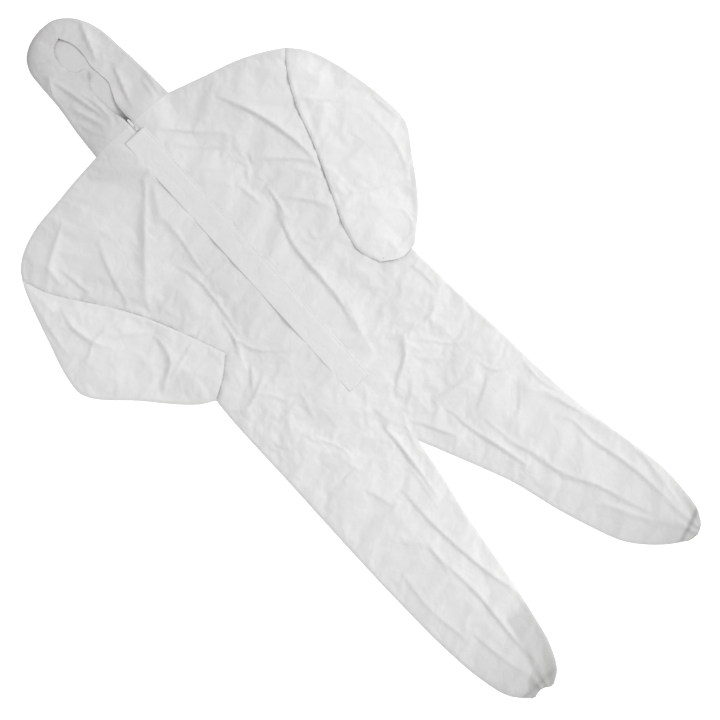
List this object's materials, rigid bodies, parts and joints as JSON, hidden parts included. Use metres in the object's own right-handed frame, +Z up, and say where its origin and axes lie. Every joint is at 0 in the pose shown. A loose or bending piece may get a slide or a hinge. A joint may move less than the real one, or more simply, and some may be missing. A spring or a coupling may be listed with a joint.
{
  "type": "chemical protective suit",
  "caption": "Hooded full-body protective coverall in thin white nonwoven fabric, laid flat face up, with front zip under a storm flap and gathered elastic cuffs, ankles and face opening.",
  "frame": {"origin": "underside of the back panel, at the centre of the waist", "axes": "+Y from the waist to the hood, +X to the wearer's left, +Z up out of the front of the laid suit"},
  "size_m": [0.9916, 1.9375, 0.0466],
  "materials": {
    "fabric": "matte white nonwoven with a faint embossed grain",
    "hood_fabric": "matte white nonwoven, slightly greyer where it doubles over",
    "seam": "overlocked fabric edge",
    "elastic": "gathered elastic",
    "zip_tape": "woven tape",
    "zip_plastic": "satin plastic",
    "adhesive": "tacky adhesive film",
    "release_liner": "smooth release paper"
  },
  "bodies": {
    "torso": {"left_front_panel": "fabric", "left_shoulder_seam": "seam", "left_side_seam": "seam", "left_sleeve_back": "fabric", "left_sleeve_front": "fabric", "left_sleeve_outer_seam": "seam", "left_sleeve_under_seam": "seam", "left_zip_coil": "zip_plastic", "left_zip_tape": "zip_tape", "left_zip_top_stop": "zip_plastic", "right_front_panel": "fabric", "right_shoulder_seam": "seam", "right_side_seam": "seam", "right_sleeve_back": "fabric", "right_sleeve_front": "fabric", "right_sleeve_outer_seam": "seam", "right_sleeve_under_seam": "seam", "right_zip_coil": "zip_plastic", "right_zip_tape": "zip_tape", "right_zip_top_stop": "zip_plastic", "storm_flap_seam": "seam", "torso_back_panel": "fabric", "waist_elastic": "elastic", "zip_bottom_stop": "zip_plastic"},
    "hood": {"face_elastic": "elastic", "hood_back_panel": "hood_fabric", "left_hood_panel": "hood_fabric", "left_hood_seam": "seam", "right_hood_panel": "hood_fabric", "right_hood_seam": "seam"},
    "flap": {"flap_adhesive_strip": "adhesive", "flap_release_liner": "release_liner", "storm_flap": "fabric"},
    "slider": {"zip_slider": "zip_plastic"},
    "pull_tab": {"zip_pull_tab": "zip_plastic"},
    "right_forearm": {"right_cuff_elastic": "elastic", "right_forearm_back": "fabric", "right_forearm_front": "fabric", "right_forearm_inner_seam": "seam", "right_forearm_outer_seam": "seam"},
    "left_forearm": {"left_cuff_elastic": "elastic", "left_forearm_back": "fabric", "left_forearm_front": "fabric", "left_forearm_inner_seam": "seam", "left_forearm_outer_seam": "seam"},
    "right_leg": {"right_ankle_elastic": "elastic", "right_leg_back": "fabric", "right_leg_front": "fabric", "right_leg_inseam": "seam", "right_leg_outseam": "seam"},
    "left_leg": {"left_ankle_elastic": "elastic", "left_leg_back": "fabric", "left_leg_front": "fabric", "left_leg_inseam": "seam", "left_leg_outseam": "seam"}
  },
  "joints": [
    {"name": "hood_fold", "type": "hinge", "parent": "torso", "child": "hood", "pos_m": [0, 0.57115, 0.03], "axis": [1, 0, 0], "range_deg": [0, 150]},
    {"name": "storm_flap_open", "type": "hinge", "parent": "torso", "child": "flap", "pos_m": [0.0123, 0.1565, 0.0334], "axis": [0, 1, 0], "range_deg": [0, 172]},
    {"name": "zip_slide", "type": "slide", "parent": "torso", "child": "slider", "axis": [0, -1, 0], "range_m": [0, 0.75]},
    {"name": "pull_tab_flip", "type": "hinge", "parent": "slider", "child": "pull_tab", "pos_m": [0, 0.5555, 0.0287], "axis": [1, 0, 0], "range_deg": [0, 138]},
    {"name": "right_elbow", "type": "hinge", "parent": "torso", "child": "right_forearm", "pos_m": [-0.405, 0.225, 0.03], "axis": [0, 0, -1], "range_deg": [-10, 40]},
    {"name": "left_elbow", "type": "hinge", "parent": "torso", "child": "left_forearm", "pos_m": [0.371, 0.187, 0.03], "axis": [0, 0, 1], "range_deg": [-10, 30]},
    {"name": "right_hip", "type": "hinge", "parent": "torso", "child": "right_leg", "pos_m": [-0.1505, -0.42, 0.013], "axis": [0, 0, -1], "range_deg": [-4, 15]},
    {"name": "left_hip", "type": "hinge", "parent": "torso", "child": "left_leg", "pos_m": [0.1575, -0.42, 0.013], "axis": [0, 0, 1], "range_deg": [-12, 8]}
  ]
}
